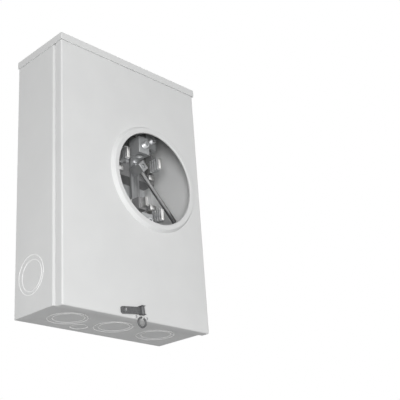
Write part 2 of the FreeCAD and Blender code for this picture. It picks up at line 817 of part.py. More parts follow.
def hasp():
    """Slotted steel strap with a rolled eye on the pin, shut against the cover over the keeper."""
    lean = Rotation(Vector(0, 0, 1), -s.hasp_lean.value)
    body = new_body("hasp", turn=TILTED * lean,
                    x=s.hasp_pin_x, y=face - s.hasp_pin_out, z=base + s.hasp_height)
    eye = s.hasp_pin_radius + s.hasp_steel
    strap = new_sketch(body, "XY")
    box_outline(strap, -s.hasp_length, 0, eye - s.hasp_steel, eye)
    pad(body, strap, s.hasp_width, midplane=True)
    fillet(body, s.hasp_corner, lambda e: edge_runs(e, "y") and edge_lies(e, x=-s.hasp_length))
    roll = new_sketch(body, "XY")
    circle(roll, 0, 0, eye)
    pad(body, roll, s.hasp_width, midplane=True)
    bore = new_sketch(body, "XY", out=s.hasp_width / 2)
    circle(bore, 0, 0, s.hasp_pin_radius + s.pin_play)
    pocket(body, bore, s.hasp_width)
    slot = new_sketch(body, "XZ", out=-eye)
    keeper_slot(slot, -slot_reach, 0)
    pocket(body, slot, s.hasp_steel, reverse=True)


def keeper():
    """Blade from the bottom wall's lip, out through the cover, that the hasp closes over."""
    lip = s.box_depth - s.bottom_lip_behind_face
    body = new_body("keeper", x=slot_x, y=-lip, z=base + slot_height)
    half = s.keeper_thickness / 2
    section = new_sketch(body, "XY")
    tip = lip - s.box_depth - s.keeper_reach
    polygon(section, [(-half, 0), (-half, tip), (half, tip), (half, -s.keeper_thickness),
                      (s.keeper_foot, -s.keeper_thickness), (s.keeper_foot, 0)])
    pad(body, section, s.keeper_width, midplane=True)
    fillet(body, s.keeper_corner, lambda e: edge_runs(e, "x") and edge_lies(e, y=tip))
    hole = new_sketch(body, "YZ", out=half)
    circle(hole, tip + 2 * s.keeper_hole_radius, 0, s.keeper_hole_radius)
    pocket(body, hole, s.keeper_thickness)


def seal_tab():
    """Painted strip riveted to the cover, with an ear for the seal ring."""
    body = new_body("seal_tab", x=s.seal_tab_x, y=face, z=base + tab_middle)
    strip = new_sketch(body, "XZ")
    half, high = s.seal_tab_width / 2, s.seal_tab_height / 2
    box_outline(strip, -half, half, -high, high)
    for side in (-1, 1):
        circle(strip, side * s.rivet_spacing / 2, 0, s.rivet_radius + s.hole_play)
    pad(body, strip, s.steel)
    middle = s.seal_ear_x - s.seal_tab_x
    up = s.seal_eye_height - tab_middle
    ear = new_sketch(body, "YZ", out=middle)
    box_outline(ear, -s.seal_eye_out, -s.steel / 2, up - s.seal_ear_radius / 2, up + s.seal_ear_radius / 2)
    pad(body, ear, s.hasp_steel, midplane=True)
    end = new_sketch(body, "YZ", out=middle)
    circle(end, -s.seal_eye_out, up, s.seal_ear_radius)
    pad(body, end, s.hasp_steel, midplane=True)
    eye = new_sketch(body, "YZ", out=middle + s.hasp_steel / 2)
    circle(eye, -s.seal_eye_out, up, s.seal_wire_radius + s.seal_play)
    pocket(body, eye, s.hasp_steel)


def tab_rivets():
    rivets = []
    for i, side in enumerate((-1, 1)):
        shank = doc.addObject("Part::Cylinder", f"RivetShank{i}")
        bind(shank, "Radius", s.rivet_radius)
        bind(shank, "Height", 2 * s.steel)
        shank.Placement = Placement(Vector(), Rotation(Vector(1, 0, 0), -90))
        head = doc.addObject("Part::Cone", f"RivetHead{i}")
        bind(head, "Radius1", s.rivet_head)
        bind(head, "Radius2", s.rivet_head / 2)
        bind(head, "Height", s.rivet_head / 2)
        head.Placement = Placement(Vector(), Rotation(Vector(1, 0, 0), 90))
        x = s.seal_tab_x + side * s.rivet_spacing / 2
        place(shank, x, face - s.steel, base + tab_middle)
        place(head, x, face - s.steel, base + tab_middle)
        whole = doc.addObject("Part::Fuse", f"Rivet{i}")
        whole.Base, whole.Tool = shank, head
        rivets.append(whole)
    group = doc.addObject("Part::Compound", "TabRivets")
    group.Links = rivets
    keep(group, "tab_rivets")


def seal_ring():
    """Wire ring hanging from the ear."""
    ring = doc.addObject("Part::Torus", "SealRing")
    bind(ring, "Radius1", s.seal_ring_radius)
    bind(ring, "Radius2", s.seal_wire_radius)
    ring.Placement = Placement(Vector(), Rotation(Vector(1, 0, 0), 90))
    place(ring, s.seal_ear_x, face - s.seal_eye_out, base + s.seal_eye_height - s.seal_ring_radius)
    keep(ring, "seal_ring")


def check_everything():
    doc.recompute()
    for item in doc.Objects:
        if "Invalid" in item.State or "Error" in item.State:
            raise RuntimeError(f"{item.Label} failed: {item.State}")
    for node in nodes:
        if node.Shape.isNull() or not node.Shape.isValid() or node.Shape.Volume <= 0:
            raise RuntimeError(f"{node.Label} has no sound solid")


wall_shell()
bottom_wall()
top_cap()
yoke()
for side, (sign, turn) in SIDES.items():
    moulded_block(side)
    for hand, x in (("left", -jaw_x), ("right", jaw_x)):
        jaw(side, hand, x)
        jaw_clip(side, hand, x)
        lug_with_screw(f"{side}_{hand}", s.lug_width, s.lug_height, s.lug_depth, s.lug_bore_radius,
                       s.set_screw_radius, s.set_screw_length, s.hex_key, sign=sign, turn=turn,
                       x=s.opening_x + x, y=-shelf_front - s.tail_thickness,
                       z=base + opening_z + sign * lug_z)
    small_screws(f"{side}_jaw_screws", s.tail_thickness + s.block_floor,
                 [(s.opening_x + x, -shelf_front - s.tail_thickness, base + opening_z + sign * jaw_screw_z)
                  for x in (-jaw_x, jaw_x)])
    small_screws(f"{side}_block_screws", s.block_depth + s.yoke_steel,
                 [(s.opening_x + x * s.block_screw_x, -block_front, base + opening_z + sign * block_screw_z)
                  for x in (-1, 1)])
neutral_bar()
for side, (sign, turn) in SIDES.items():
    lug_with_screw(f"{side}_neutral", s.lug_width, s.lug_height, s.lug_depth, s.lug_bore_radius,
                   s.set_screw_radius, s.set_screw_length, s.hex_key, sign=sign, turn=turn,
                   x=s.opening_x, y=-strap_front, z=base + opening_z + sign * neutral_lug_z)
small_screws("neutral_bar_screws", s.neutral_bar_thickness + s.block_depth,
             [(s.opening_x, -strap_front, base + opening_z + side * block_screw_z) for side in (-1, 1)])
neutral_jaw()
neutral_jaw_holder()
lug_with_screw("ground", s.ground_lug_width, s.ground_lug_length, s.ground_lug_width,
               s.lead_radius + s.hole_play, s.small_set_screw_radius, s.small_set_screw_length,
               s.small_hex_key, x=ground_lug_x, y=-s.steel, z=base + s.ground_lug_height)
lug("bonding_lug", s.bonding_lug_width, s.bonding_lug_length, s.bonding_lug_depth,
    s.lead_radius + s.hole_play, s.small_set_screw_radius, turn=SLANTED, y=-strap_front,
    x=bonding_x - sine(s.bonding_lug_turn) * s.bonding_lug_length / 2,
    z=bonding_z - cosine(s.bonding_lug_turn) * s.bonding_lug_length / 2)
set_screw("bonding_set_screw", s.small_set_screw_radius, s.small_set_screw_length, s.small_hex_key,
          x=bonding_x, z=bonding_z,
          y=-strap_front - s.bonding_lug_depth / 2 - s.lead_radius - s.set_screw_from_bore)
bonding_lead()
cover()
hasp_bracket()
hasp_pin()
hasp()
keeper()
seal_tab()
tab_rivets()
seal_ring()
check_everything()

os.makedirs("parts", exist_ok=True)
for node in nodes:
    node.Shape.exportStep(f"parts/{node.Label}.step")
    print(f"{node.Label}: {len(node.Shape.Solids)} solids, {node.Shape.Volume:.1f} mm3")
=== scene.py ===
import bpy
import bmesh
import math
from mathutils import Matrix, Vector


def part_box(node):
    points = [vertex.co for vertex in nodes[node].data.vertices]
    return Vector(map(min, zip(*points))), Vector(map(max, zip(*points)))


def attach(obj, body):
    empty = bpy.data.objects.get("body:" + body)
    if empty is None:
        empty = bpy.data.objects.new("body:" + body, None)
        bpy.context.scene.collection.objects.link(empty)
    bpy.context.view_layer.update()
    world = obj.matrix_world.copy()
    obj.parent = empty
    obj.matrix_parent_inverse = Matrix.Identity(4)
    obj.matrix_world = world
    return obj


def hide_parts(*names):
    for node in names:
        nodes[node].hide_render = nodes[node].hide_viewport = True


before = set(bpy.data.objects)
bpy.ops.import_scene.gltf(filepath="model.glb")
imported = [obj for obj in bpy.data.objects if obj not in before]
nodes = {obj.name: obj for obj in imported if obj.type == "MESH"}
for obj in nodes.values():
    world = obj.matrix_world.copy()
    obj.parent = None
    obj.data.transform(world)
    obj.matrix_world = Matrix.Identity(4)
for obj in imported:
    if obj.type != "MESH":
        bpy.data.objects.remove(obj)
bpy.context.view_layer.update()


# The hood, cover and seal tab are folded from steel sheet and powder coated light grey after folding.
# The coat has a fine orange peel, and its shade and gloss change slightly in patches.
def finish(name, color, metallic, roughness):
    """A new material with its main shader's plain values set."""
    material = bpy.data.materials.new(name)
    material.use_nodes = True
    shader = material.node_tree.nodes["Principled BSDF"]
    shader.inputs["Base Color"].default_value = (*color, 1)
    shader.inputs["Metallic"].default_value = metallic
    shader.inputs["Roughness"].default_value = roughness
    return material, shader


def grain(material, scale, stretch=(1, 1, 1), detail=3.0):
    """Noise in the piece's own space, in bumps per metre."""
    tree = material.node_tree
    where = tree.nodes.new("ShaderNodeTexCoord")
    spread = tree.nodes.new("ShaderNodeMapping")
    spread.inputs["Scale"].default_value = stretch
    noise = tree.nodes.new("ShaderNodeTexNoise")
    noise.inputs["Scale"].default_value = scale
    noise.inputs["Detail"].default_value = detail
    tree.links.new(where.outputs["Object"], spread.inputs["Vector"])
    tree.links.new(spread.outputs["Vector"], noise.inputs["Vector"])
    return noise.outputs["Fac"]


def vary(material, value, socket, low, high, start=0.3, end=0.7):
    """Drives a shader value between two limits by a pattern."""
    tree = material.node_tree
    limits = tree.nodes.new("ShaderNodeMapRange")
    for name, number in (("From Min", start), ("From Max", end), ("To Min", low), ("To Max", high)):
        limits.inputs[name].default_value = number
    tree.links.new(value, limits.inputs["Value"])
    tree.links.new(limits.outputs["Result"], socket)


def tint(material, value, socket, dark, light, start=0.3, end=0.7):
    """Drives a colour between two shades by a pattern."""
    tree = material.node_tree
    ramp = tree.nodes.new("ShaderNodeValToRGB")
    ramp.color_ramp.elements[0].position = start
    ramp.color_ramp.elements[0].color = (*dark, 1)
    ramp.color_ramp.elements[1].position = end
    ramp.color_ramp.elements[1].color = (*light, 1)
    tree.links.new(value, ramp.inputs["Fac"])
    tree.links.new(ramp.outputs["Color"], socket)


def relief(material, shader, value, depth, strength):
    """Bump of a given depth in metres."""
    tree = material.node_tree
    bump = tree.nodes.new("ShaderNodeBump")
    bump.inputs["Strength"].default_value = strength
    bump.inputs["Distance"].default_value = depth
    tree.links.new(value, bump.inputs["Height"])
    tree.links.new(bump.outputs["Normal"], shader.inputs["Normal"])


def dress(material, *names):
    """Gives CAD nodes a finish."""
    for name in names:
        node = nodes[name]
        node.data.materials.clear()
        node.data.materials.append(material)


PATCHES, PEEL = 18, 900
enamel, shader = finish("grey_enamel", (0.74, 0.745, 0.742), metallic=0.0, roughness=0.62)
shader.inputs["Specular IOR Level"].default_value = 0.3
tint(enamel, grain(enamel, PATCHES), shader.inputs["Base Color"], (0.715, 0.72, 0.718), (0.74, 0.745, 0.742))
vary(enamel, grain(enamel, 25), shader.inputs["Roughness"], 0.6, 0.65)
relief(enamel, shader, grain(enamel, PEEL, detail=2.0), 0.00003, 0.35)
dress(enamel, "top_cap", "cover", "seal_tab")


# The shell and the bottom wall wear the same enamel, and have knockouts scored almost through the sheet.
# The scored rings are painted paler, a painted highlight standing in for the light that their groove walls
# catch, which is what makes them show.
def worked_out(tree, operation, *values):
    """The result of a Math node on sockets or plain numbers."""
    step = tree.nodes.new("ShaderNodeMath")
    step.operation = operation
    for socket, value in zip(step.inputs, values):
        if isinstance(value, float):
            socket.default_value = value
        else:
            tree.links.new(value, socket)
    return step.outputs["Value"]


def scored(name, groove_highlight, *spans):
    """The enamel with a painted highlight: paler within spans of distance from the middle of the piece's own
    space.
    """
    material = enamel.copy()
    material.name = name
    tree = material.node_tree
    shader = tree.nodes["Principled BSDF"]
    coat = shader.inputs["Base Color"].links[0].from_socket
    where = tree.nodes.new("ShaderNodeTexCoord")
    split = tree.nodes.new("ShaderNodeSeparateXYZ")
    tree.links.new(where.outputs["Object"], split.inputs["Vector"])
    share = 1.0
    for axis, middle, reach in spans:
        distance = worked_out(tree, "ABSOLUTE", split.outputs[axis])
        inside = worked_out(tree, "COMPARE", distance, middle, reach)
        share = worked_out(tree, "MULTIPLY", share, inside)
    # The paler colour mixed in here is a painted highlight on the scored rings, not a colour of the coat.
    mix = tree.nodes.new("ShaderNodeMix")
    mix.data_type = "RGBA"
    mix.inputs[7].default_value = (*groove_highlight, 1)
    tree.links.new(share, mix.inputs[0])
    tree.links.new(coat, mix.inputs[6])
    tree.links.new(mix.outputs[2], shader.inputs["Base Color"])
    return material


GROOVE_MIDDLE, GROOVE_REACH = 0.00075, 0.0006
SIDE_KNOCKOUT_FROM_WALL, SIDE_KNOCKOUT_REACH = 0.042, 0.035
side_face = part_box("wall_shell")[1][0]
under_face = -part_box("bottom_wall")[0][2]
# The pale colours given here are painted highlights in the knockout grooves.
scored_side_highlit = scored("scored_side_highlit", (0.86, 0.863, 0.86), ("X", side_face - GROOVE_MIDDLE, GROOVE_REACH),
                     ("Y", SIDE_KNOCKOUT_FROM_WALL, SIDE_KNOCKOUT_REACH))
scored_end_highlit = scored("scored_end_highlit", (0.96, 0.96, 0.955), ("Z", under_face - GROOVE_MIDDLE, GROOVE_REACH))
dress(scored_side_highlit, "wall_shell")
dress(scored_end_highlit, "bottom_wall")


# The yoke is hot-dip galvanized strip, so it shows the flat crystals of the zinc bath.
# The screws and clips are electroplated instead, which is finer and brighter.
SHARP = math.radians(50)


def soften(radius, segments, *names):
    """Rounds the sharp edges of CAD nodes, as tumbling or moulding does."""
    for name in names:
        weld = nodes[name].modifiers.new("weld", "WELD")
        weld.merge_threshold = 0.000001
        edge = nodes[name].modifiers.new("edge", "BEVEL")
        edge.width = radius
        edge.segments = segments
        edge.limit_method = "ANGLE"
        edge.angle_limit = SHARP
        edge.use_clamp_overlap = True
        edge.harden_normals = False


CRYSTALS = 120
galvanized, shader = finish("galvanized_strip", (0.6, 0.61, 0.62), metallic=0.5, roughness=0.5)
tree = galvanized.node_tree
where = tree.nodes.new("ShaderNodeTexCoord")
spangle = tree.nodes.new("ShaderNodeTexVoronoi")
spangle.inputs["Scale"].default_value = CRYSTALS
tree.links.new(where.outputs["Object"], spangle.inputs["Vector"])
shade = tree.nodes.new("ShaderNodeSeparateColor")
tree.links.new(spangle.outputs["Color"], shade.inputs["Color"])
tint(galvanized, shade.outputs["Red"], shader.inputs["Base Color"], (0.5, 0.51, 0.52), (0.7, 0.71, 0.72),
     0.0, 1.0)
vary(galvanized, shade.outputs["Green"], shader.inputs["Roughness"], 0.42, 0.6, 0.0, 1.0)
dress(galvanized, "yoke")
soften(0.0003, 2, "yoke")

zinc, shader = finish("zinc_plate", (0.66, 0.67, 0.68), metallic=0.75, roughness=0.42)
tint(zinc, grain(zinc, 220), shader.inputs["Base Color"], (0.56, 0.57, 0.58), (0.76, 0.77, 0.78))
vary(zinc, grain(zinc, 500), shader.inputs["Roughness"], 0.42, 0.56)
PLATED = ("set_screw", "jaw_screws", "block_screws", "bar_screws", "_clip")
dress(zinc, *[n for n in nodes if n.endswith(PLATED)])

# The two blocks and the fifth jaw's collar are compression moulded from a dark mineral-filled resin.
# The moulded skin is matt with faint pale specks of filler.
SPECKS, SKIN = 1400, 700
moulded = ["line_block", "load_block", "neutral_jaw_holder"]
moulding, shader = finish("dark_moulding", (0.22, 0.22, 0.223), metallic=0.0, roughness=0.5)
tint(moulding, grain(moulding, SPECKS), shader.inputs["Base Color"], (0.2, 0.2, 0.203), (0.32, 0.32, 0.323),
     0.4, 0.8)
relief(moulding, shader, grain(moulding, SKIN), 0.0001, 0.3)
dress(moulding, *moulded)
soften(0.0006, 3, *moulded)

# The jaws are pressed from hard copper strip and tin plated, so they are bright with long soft streaks.
# Each has two sprung leaves, a bypass horn with a turned-down lip, and a tail under its lug.
# They are drawn in millimetres, upright and facing out, from the place where the leaves leave the shelf.
MM = 0.001
MIDDLE = Vector((42, 0, 17))
SIDES = {"line": Matrix(), "load": Matrix.Rotation(math.pi, 4, "Y")}
JAW_ACROSS, JAW_UP, SHELF = 36.5, 47.6, -50.0
JAW_HEIGHT, LEAF_STEEL, LEAF_BEND = 20, 2.4, 2.0
LEAF_LINE = ((1.7, 0), (1.7, -24), (0.9, -40), (3.5, -48))
HORN_WIDTH, HORN_BEND = 14, 1.6
HORN_LINE = ((0, -9.5), (0, -16.4), (-23.6, -16.4), (-23.6, -24))
TAIL_WIDTH, TAIL_STEEL, TAIL_TOP = 14, 3, 64.4
BROKEN_EDGE = 0.25
CREASE = math.radians(38)


def sheared(shape):
    """Breaks every sharp edge by a hair, as shearing and tumbling leave it."""
    bmesh.ops.recalc_face_normals(shape, faces=shape.faces[:])
    sharp = [e for e in shape.edges if len(e.link_faces) == 2 and e.calc_face_angle(0) > SHARP]
    bmesh.ops.bevel(shape, geom=sharp, offset=BROKEN_EDGE, affect="EDGES", segments=2, profile=0.5,
                     material=-1)
    return shape


def band(path, across, bend, closed=False):
    """A thin surface along a path of points, widened by the vector across, with rounded bends."""
    shape = bmesh.new()
    corners = [shape.verts.new(point) for point in path]
    ends = corners[1:] + corners[:1] if closed else corners[1:]
    run = [shape.edges.new(pair) for pair in zip(corners, ends)]
    grown = bmesh.ops.extrude_edge_only(shape, edges=run)["geom"]
    bmesh.ops.translate(shape, verts=[v for v in grown if isinstance(v, bmesh.types.BMVert)], vec=across)
    folds = [e for e in shape.edges if len(e.link_faces) == 2]
    bmesh.ops.bevel(shape, geom=folds, offset=bend, affect="EDGES", segments=4, profile=0.5, material=-1)
    return shape


def strip(path, across, steel, bend):
    """Metal strip along a path of points, on its right side."""
    shape = band(path, across, bend)
    bmesh.ops.solidify(shape, geom=shape.faces[:], thickness=steel)
    return sheared(shape)


def slab(low, high):
    """Plain block between two corners with its edges broken."""
    shape = bmesh.new()
    low, high = Vector(low), Vector(high)
    bmesh.ops.create_cube(shape, size=1)
    bmesh.ops.scale(shape, verts=shape.verts, vec=high - low)
    bmesh.ops.translate(shape, verts=shape.verts, vec=(low + high) / 2)
    return sheared(shape)


def together(*shapes):
    """One bmesh from several."""
    whole = bmesh.new()
    for shape in shapes:
        mesh = bpy.data.meshes.new("part")
        shape.to_mesh(mesh)
        shape.free()
        whole.from_mesh(mesh)
        bpy.data.meshes.remove(mesh)
    return whole


def piece(name, shape, material, stands_for, turn=Matrix(), at=(0, 0, 0)):
    """Puts a shape made in millimetres in its place in the box, instead of its plain CAD node."""
    shape.transform(Matrix.Scale(MM, 4) @ Matrix.Translation(at) @ turn)
    mesh = bpy.data.meshes.new(name)
    shape.to_mesh(mesh)
    shape.free()
    mesh.materials.append(material)
    mesh.shade_smooth()
    mesh.set_sharp_from_angle(angle=CREASE)
    item = bpy.data.objects.new(name, mesh)
    bpy.context.collection.objects.link(item)
    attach(item, "box")
    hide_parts(stands_for)


def jaw_places():
    """Each jaw's name, the turn that points its tail away from the middle, and its place."""
    for side, turn in SIDES.items():
        for hand, across in (("left", -JAW_ACROSS), ("right", JAW_ACROSS)):
            up = JAW_UP if side == "line" else -JAW_UP
            yield f"{side}_{hand}", turn, MIDDLE + Vector((across, SHELF, up))


def leaf(hand):
    """One jaw leaf, pinched where it grips and flared at its mouth."""
    path = [(across, out, -JAW_HEIGHT / 2) for across, out in LEAF_LINE]
    shape = strip(path, (0, 0, JAW_HEIGHT), LEAF_STEEL, LEAF_BEND)
    if hand < 0:
        bmesh.ops.rotate(shape, verts=shape.verts, cent=(0, 0, 0), matrix=Matrix.Rotation(math.pi, 3, "Y"))
    return shape


def horn():
    """Bypass horn, bent out from the tail with its lip turned down."""
    path = [(-HORN_WIDTH / 2, out, up) for out, up in HORN_LINE]
    return strip(path, (HORN_WIDTH, 0, 0), LEAF_STEEL, HORN_BEND)


def tail():
    """Flat tail on the shelf, under the lug."""
    return slab((-TAIL_WIDTH / 2, -TAIL_STEEL, -JAW_HEIGHT / 2), (TAIL_WIDTH / 2, 0, TAIL_TOP))


tinned, shader = finish("tinned_copper", (0.8, 0.8, 0.79), metallic=0.85, roughness=0.3)
vary(tinned, grain(tinned, 400, (1, 1, 0.2)), shader.inputs["Roughness"], 0.24, 0.42)
tint(tinned, grain(tinned, 90), shader.inputs["Base Color"], (0.7, 0.695, 0.685), (0.86, 0.86, 0.85))
for name, turn, place in jaw_places():
    pressing = together(leaf(-1), leaf(1), horn(), tail())
    piece(f"{name}_jaw_pressing", pressing, tinned, f"{name}_jaw", turn=turn, at=place)

# A spring-steel cage of four flat loops keeps each pair of leaves pressed together.
# The loops are bent from one zinc-plated blank, so a spine joins them on one side.
LOOP_ACROSS, LOOP_UP, LOOP_BAND, LOOP_BEND, LOOP_STEEL = 4.8, 11.1, 2.6, 1.6, 1.0
LOOP_BACKS = (-44.8, -39.4, -34.0, -28.6)
SPINE_LOW, SPINE_HIGH = (3.9, -44.5, -3), (4.7, -26.4, 3)


def loop(back):
    """One flat loop round both leaves."""
    around = [(-LOOP_ACROSS, back, -LOOP_UP), (LOOP_ACROSS, back, -LOOP_UP), (LOOP_ACROSS, back, LOOP_UP),
              (-LOOP_ACROSS, back, LOOP_UP)]
    shape = band(around, (0, LOOP_BAND, 0), LOOP_BEND, closed=True)
    bmesh.ops.recalc_face_normals(shape, faces=shape.faces[:])
    bmesh.ops.solidify(shape, geom=shape.faces[:], thickness=LOOP_STEEL)
    return sheared(shape)


for name, turn, place in jaw_places():
    cage = together(*[loop(back) for back in LOOP_BACKS], slab(SPINE_LOW, SPINE_HIGH))
    piece(f"{name}_spring_cage", cage, zinc, f"{name}_clip", turn=turn, at=place)

# The lugs are sawn from extruded aluminium, so die lines run along them, and each is drilled and tapped.
# The neutral strap and the slanted lug on it are the same metal, dulled, with the marks of rolling.
# The fifth jaw stands out from the strap and is tin plated as the others are.
DIE_LINES, ALONG = 900, (1, 1, 0.04)
lugs = [n for n in nodes if n.endswith("_lug")]
aluminium, shader = finish("extruded_aluminium", (0.42, 0.43, 0.435), metallic=0.4, roughness=0.5)
vary(aluminium, grain(aluminium, DIE_LINES, ALONG), shader.inputs["Roughness"], 0.44, 0.6)
relief(aluminium, shader, grain(aluminium, DIE_LINES, ALONG), 0.00005, 0.4)
dress(aluminium, *lugs)
soften(0.0004, 2, *lugs)

dull_aluminium, shader = finish("dull_aluminium", (0.36, 0.365, 0.37), metallic=0.6, roughness=0.5)
tint(dull_aluminium, grain(dull_aluminium, 60, (1, 1, 0.3)), shader.inputs["Base Color"], (0.26, 0.265, 0.27),
     (0.4, 0.405, 0.41))
vary(dull_aluminium, grain(dull_aluminium, 1200, (1, 1, 0.03)), shader.inputs["Roughness"], 0.42, 0.6)
dress(dull_aluminium, "neutral_bar", "bonding_lug")
soften(0.0005, 2, "neutral_bar")
dress(tinned, "neutral_jaw")
soften(0.0003, 2, "neutral_jaw")

# The screws are cold headed and rolled from steel wire, then zinc plated.
# The small ones have slotted heads, and the set screws have a hexagon socket and a rolled thread.
# Each is drawn with its head towards -Y, and each slot or socket lies at its own angle.
SHANK, HEAD, HEAD_TOP = 2.0, 4.0, 3.0
SLOT_WIDTH, SLOT_DEPTH = 1.1, 1.3


def turned(outline, steps=32):
    """A closed round solid from points of radius and height, about the Y axis, outwards along -Y."""
    shape = bmesh.new()
    points = [shape.verts.new((radius, -out, 0)) for radius, out in outline]
    run = [shape.edges.new(pair) for pair in zip(points, points[1:])]
    bmesh.ops.spin(shape, geom=points + run, cent=(0, 0, 0), axis=(0, 1, 0), angle=2 * math.pi, steps=steps,
                   use_merge=True)
    bmesh.ops.remove_doubles(shape, verts=shape.verts[:], dist=0.0001)
    bmesh.ops.recalc_face_normals(shape, faces=shape.faces[:])
    return shape


def carved(solid, tool):
    """The first shape with the second cut out of it."""
    items = []
    for shape in (solid, tool):
        mesh = bpy.data.meshes.new("work")
        shape.to_mesh(mesh)
        shape.free()
        items.append(bpy.data.objects.new("work", mesh))
        bpy.context.collection.objects.link(items[-1])
    cut = items[0].modifiers.new("cut", "BOOLEAN")
    cut.operation = "DIFFERENCE"
    cut.solver = "EXACT"
    cut.object = items[1]
    bpy.context.view_layer.update()
    result = bmesh.new()
    result.from_object(items[0], bpy.context.evaluated_depsgraph_get())
    for item in items:
        mesh = item.data
        bpy.data.objects.remove(item)
        bpy.data.meshes.remove(mesh)
    return result


def moved(shape, x=0.0, y=0.0, z=0.0, turn=0.0):
    """The same shape somewhere else, turned about its own Y axis first."""
    spin = Matrix.Rotation(math.radians(turn), 3, "Y")
    bmesh.ops.rotate(shape, verts=shape.verts, cent=(0, 0, 0), matrix=spin)
    bmesh.ops.translate(shape, verts=shape.verts, vec=(x, y, z))
    return shape


def slotted_screw(length, lie):
    """Cheese-head screw with its slot lying at an angle."""
    outline = [(0, -length), (SHANK - 0.4, -length), (SHANK, -length + 0.6), (SHANK, 0), (HEAD - 0.1, 0),
               (HEAD, 0.25), (HEAD, HEAD_TOP / 2), (3.6, 2.3), (2.4, 2.9), (0, HEAD_TOP)]
    slot = bmesh.new()
    bmesh.ops.create_cube(slot, size=1)
    bmesh.ops.scale(slot, verts=slot.verts, vec=(3 * HEAD, 2 * SLOT_DEPTH, SLOT_WIDTH))
    bmesh.ops.translate(slot, verts=slot.verts, vec=(0, -HEAD_TOP, 0))
    return moved(carved(turned(outline), slot), turn=lie)


def set_screw(radius, length, key, lie):
    """Headless screw with a rolled thread and a hexagon socket."""
    pitch, depth = radius / 4, radius / 9
    root = radius - depth
    outline = [(0, 0), (root, 0)]
    for i in range(int(length / pitch) - 1):
        outline += [(root, pitch * (i + 0.3)), (radius, pitch * (i + 0.75)), (root, pitch * (i + 1.2))]
    outline += [(root, length - 0.5), (root - 0.5, length), (0, length)]
    corner = key / math.sqrt(3)
    socket = bmesh.new()
    bmesh.ops.create_cone(socket, cap_ends=True, segments=6, radius1=corner, radius2=corner, depth=length)
    bmesh.ops.rotate(socket, verts=socket.verts, cent=(0, 0, 0), matrix=Matrix.Rotation(math.pi / 2, 3, "X"))
    bmesh.ops.translate(socket, verts=socket.verts, vec=(0, -length, 0))
    return moved(carved(turned(outline), socket), turn=lie)


def fit_set_screw(name, lie, radius, length, key):
    """Puts a set screw where its plain CAD node lies."""
    low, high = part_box(f"{name}_set_screw")
    place = ((low[0] + high[0]) / 2 / MM, high[1] / MM, (low[2] + high[2]) / 2 / MM)
    piece(f"{name}_threaded_screw", set_screw(radius, length, key, lie), zinc,
          f"{name}_set_screw", at=place)


BLOCK_FRONT, STRAP_FRONT = -68.0, -73.0
JAW_SCREW_UP, JAW_SCREW_LENGTH = 72, 12
BLOCK_SCREW_ACROSS, BLOCK_SCREW_UP, BLOCK_SCREW_LENGTH = 14, 49, 29
STRAP_SCREW_LENGTH = 32
JAW_SCREW_LIES, BLOCK_SCREW_LIES, STRAP_SCREW_LIES = (25, 95), (-40, 25), (35, 85)
SET_SCREW_LIES, SMALL_SET_SCREW_LIE = {"left": 22, "right": 42, "neutral": 32}, 18
SET_SCREW = {"radius": 6, "length": 12, "key": 6}
SMALL_SET_SCREW = {"radius": 3.5, "length": 6, "key": 3}
for side, sign, more in (("line", 1, 0), ("load", -1, 20)):
    jaw_screws = [moved(slotted_screw(JAW_SCREW_LENGTH, lie), MIDDLE.x + x, SHELF - TAIL_STEEL,
                        MIDDLE.z + sign * JAW_SCREW_UP)
                  for x, lie in zip((-JAW_ACROSS, JAW_ACROSS), JAW_SCREW_LIES)]
    piece(f"{side}_jaw_slotted_screws", together(*jaw_screws), zinc, f"{side}_jaw_screws")
    block_screws = [moved(slotted_screw(BLOCK_SCREW_LENGTH, lie), MIDDLE.x + x, BLOCK_FRONT,
                          MIDDLE.z + sign * BLOCK_SCREW_UP)
                    for x, lie in zip((-BLOCK_SCREW_ACROSS, BLOCK_SCREW_ACROSS), BLOCK_SCREW_LIES)]
    piece(f"{side}_block_slotted_screws", together(*block_screws), zinc, f"{side}_block_screws")
    for hand, lie in SET_SCREW_LIES.items():
        fit_set_screw(f"{side}_{hand}", lie + more, **SET_SCREW)
strap_screws = [moved(slotted_screw(STRAP_SCREW_LENGTH, lie), MIDDLE.x, STRAP_FRONT, MIDDLE.z + up)
                for up, lie in zip((-BLOCK_SCREW_UP, BLOCK_SCREW_UP), STRAP_SCREW_LIES)]
piece("strap_slotted_screws", together(*strap_screws), zinc, "neutral_bar_screws")
for name in ("bonding", "ground"):
    fit_set_screw(name, SMALL_SET_SCREW_LIE, **SMALL_SET_SCREW)

# The bonding lead is stranded copper in smooth black insulation.
# It crosses between the jaws from the slanted lug on the strap, then drops along the side to the ground lug.
LEAD_ROUTE = [(0.0382, -0.086, 0.0478), (0.0982, -0.086, -0.0122), (0.126, -0.086, -0.04),
              (0.126, -0.0705, -0.07626), (0.126, -0.0085, -0.10664), (0.126, -0.0085, -0.138)]
LEAD_RADIUS, LEAD_LENGTH = 0.004, 0.2573
insulation, shader = finish("black_insulation", (0.06, 0.06, 0.061), metallic=0.0, roughness=0.3)
shader.inputs["Coat Weight"].default_value = 1.0
shader.inputs["Coat Roughness"].default_value = 0.28
shader.inputs["Coat IOR"].default_value = 2.0
shader.inputs["Specular IOR Level"].default_value = 1.0
vary(insulation, grain(insulation, 300), shader.inputs["Roughness"], 0.26, 0.34)
tint(insulation, grain(insulation, 40), shader.inputs["Base Color"], (0.055, 0.055, 0.056),
     (0.075, 0.075, 0.076))
line = bpy.data.curves.new("bonding_lead_line", "CURVE")
line.dimensions = "3D"
spline = line.splines.new("NURBS")
spline.points.add(len(LEAD_ROUTE) - 1)
for point, place in zip(spline.points, LEAD_ROUTE):
    point.co = (*place, 1)
spline.order_u = 3
spline.use_endpoint_u = True
spline.resolution_u = 16
line.bevel_depth = LEAD_RADIUS
line.bevel_resolution = 8
line.use_fill_caps = True
line.materials.append(insulation)
lead = bpy.data.objects.new("bonding_lead_line", line)
bpy.context.collection.objects.link(lead)
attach(lead, "box")
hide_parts("bonding_lead")

